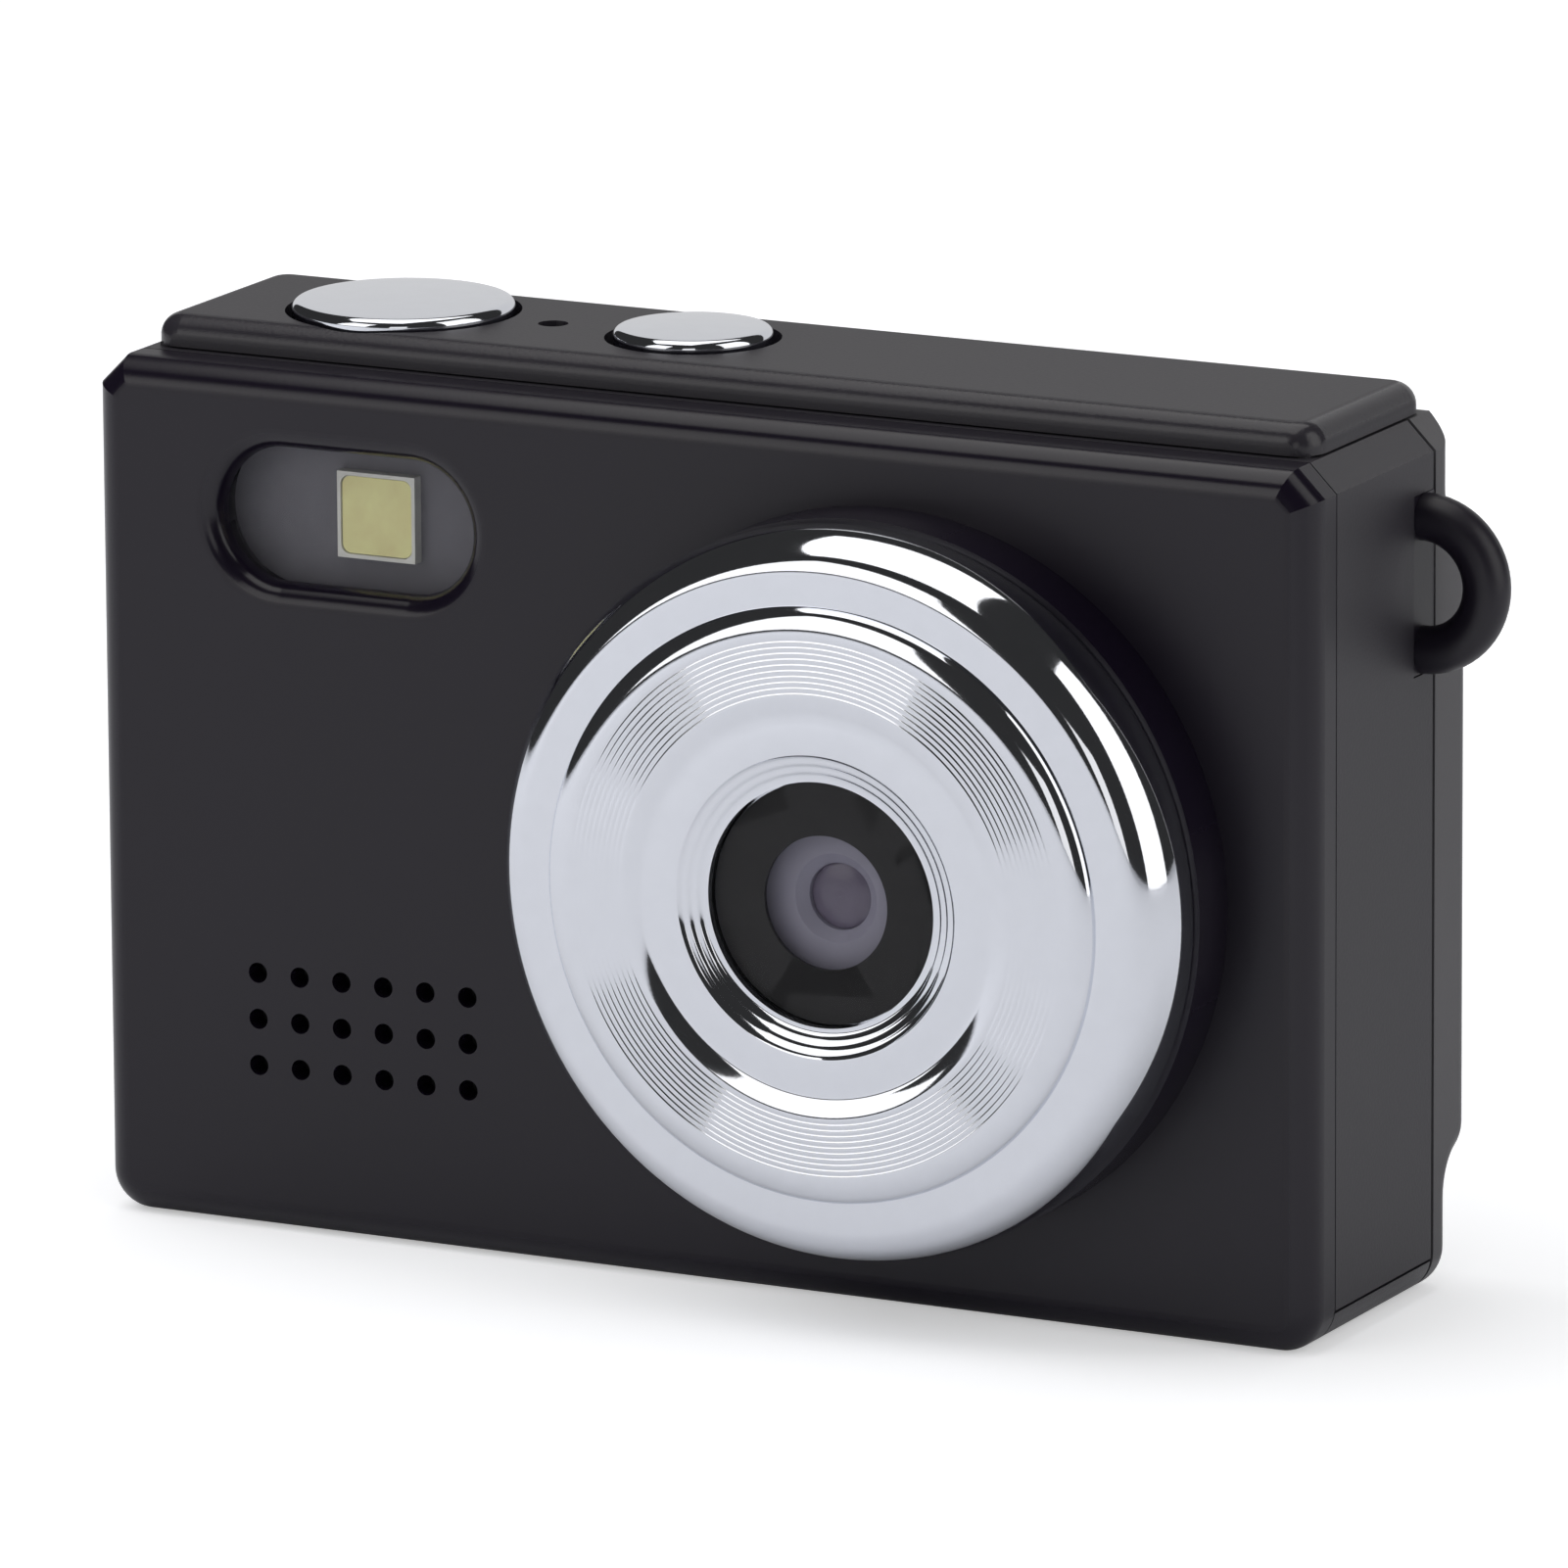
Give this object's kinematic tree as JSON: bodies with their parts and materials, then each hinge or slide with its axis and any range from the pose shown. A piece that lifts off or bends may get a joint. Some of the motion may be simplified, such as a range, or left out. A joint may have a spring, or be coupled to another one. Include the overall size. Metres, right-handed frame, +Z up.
{
  "type": "compact digital camera",
  "caption": "Slim rectangular digital camera with a raised plated lens surround, flash window, two top buttons, rear display and keys, and a strap loop.",
  "frame": {"origin": "centre of the flat underside, midway across the width and midway between the front face and the rear rim", "axes": "+Z up, -Y the way the lens looks, +X to the right as seen from the front"},
  "size_m": [0.0754, 0.0288, 0.0486],
  "materials": {
    "black_shell": "satin black moulded plastic with a fine grain",
    "chrome_plating": "bright chrome plating on plastic",
    "clear_glass": "clear flat glass",
    "clear_acrylic": "clear moulded acrylic",
    "mask_black": "black print behind glass",
    "barrel_black": "black anodised metal",
    "lens_coated": "coated optical element",
    "inner_plastic": "black inner plastic",
    "circuit_green": "green circuit board",
    "chip_black": "moulded chip package",
    "led_white": "white light package",
    "led_phosphor": "yellow phosphor filling",
    "cell_foil": "silver pouch foil",
    "foam_grey": "soft closed-cell foam",
    "display_black": "dark display panel",
    "bracket_steel": "stamped steel",
    "switch_metal": "switch and socket shells",
    "plunger_black": "switch plunger",
    "key_black": "satin key cap",
    "screw_black": "black zinc-plated screw",
    "speaker_cloth": "woven dust cloth"
  },
  "bodies": {
    "camera_body": {"front_cover": "black_shell", "mid_frame": "black_shell", "bottom_cover": "black_shell", "top_cover": "black_shell", "rear_cover": "black_shell", "lens_trim_ring": "chrome_plating", "lens_window": "clear_glass", "lens_mask": "mask_black", "lens_barrel": "barrel_black", "objective_lens": "lens_coated", "lens_holder": "inner_plastic", "image_sensor": "chip_black", "flash_window": "clear_acrylic", "flash_board": "circuit_green", "flash_led": "led_white", "flash_phosphor": "led_phosphor", "speaker_mesh": "speaker_cloth", "speaker": "inner_plastic", "microphone": "switch_metal", "microphone_boot": "foam_grey", "main_board": "circuit_green", "main_board_chips": "chip_black", "battery": "cell_foil", "battery_foam": "foam_grey", "display_window": "clear_acrylic", "display_panel": "display_black", "display_bracket": "bracket_steel", "shutter_switch": "switch_metal", "mode_switch": "switch_metal", "switch_board": "circuit_green", "key_board": "circuit_green", "key_switches": "switch_metal", "status_led": "led_white", "status_light_pipe": "clear_acrylic", "usb_connector": "switch_metal", "card_socket": "switch_metal", "strap_lug": "black_shell", "case_screws": "screw_black", "board_screws": "screw_black", "bracket_screws": "screw_black", "key_board_screws": "screw_black", "switch_board_screws": "screw_black"},
    "shutter_button_assembly": {"shutter_button": "chrome_plating", "shutter_switch_plunger": "plunger_black"},
    "mode_button_assembly": {"mode_button": "chrome_plating", "mode_switch_plunger": "plunger_black"},
    "menu_key_assembly": {"menu_key": "key_black", "menu_switch_plunger": "plunger_black"},
    "down_key_assembly": {"down_key": "key_black", "down_switch_plunger": "plunger_black"},
    "up_key_assembly": {"up_key": "key_black", "up_switch_plunger": "plunger_black"},
    "select_key_assembly": {"select_key": "key_black", "select_switch_plunger": "plunger_black"}
  },
  "joints": [
    {"name": "shutter_press", "type": "slide", "parent": "camera_body", "child": "shutter_button_assembly", "axis": [0, 0, -1], "range_m": [0, 0.0005], "stiffness_N_per_m": 400},
    {"name": "mode_press", "type": "slide", "parent": "camera_body", "child": "mode_button_assembly", "axis": [0, 0, -1], "range_m": [0, 0.0005], "stiffness_N_per_m": 400},
    {"name": "menu_key_press", "type": "slide", "parent": "camera_body", "child": "menu_key_assembly", "axis": [0, -1, 0], "range_m": [0, 0.00035], "stiffness_N_per_m": 500},
    {"name": "down_key_press", "type": "slide", "parent": "camera_body", "child": "down_key_assembly", "axis": [0, -1, 0], "range_m": [0, 0.00035], "stiffness_N_per_m": 500},
    {"name": "up_key_press", "type": "slide", "parent": "camera_body", "child": "up_key_assembly", "axis": [0, -1, 0], "range_m": [0, 0.00035], "stiffness_N_per_m": 500},
    {"name": "select_key_press", "type": "slide", "parent": "camera_body", "child": "select_key_assembly", "axis": [0, -1, 0], "range_m": [0, 0.00035], "stiffness_N_per_m": 500}
  ]
}
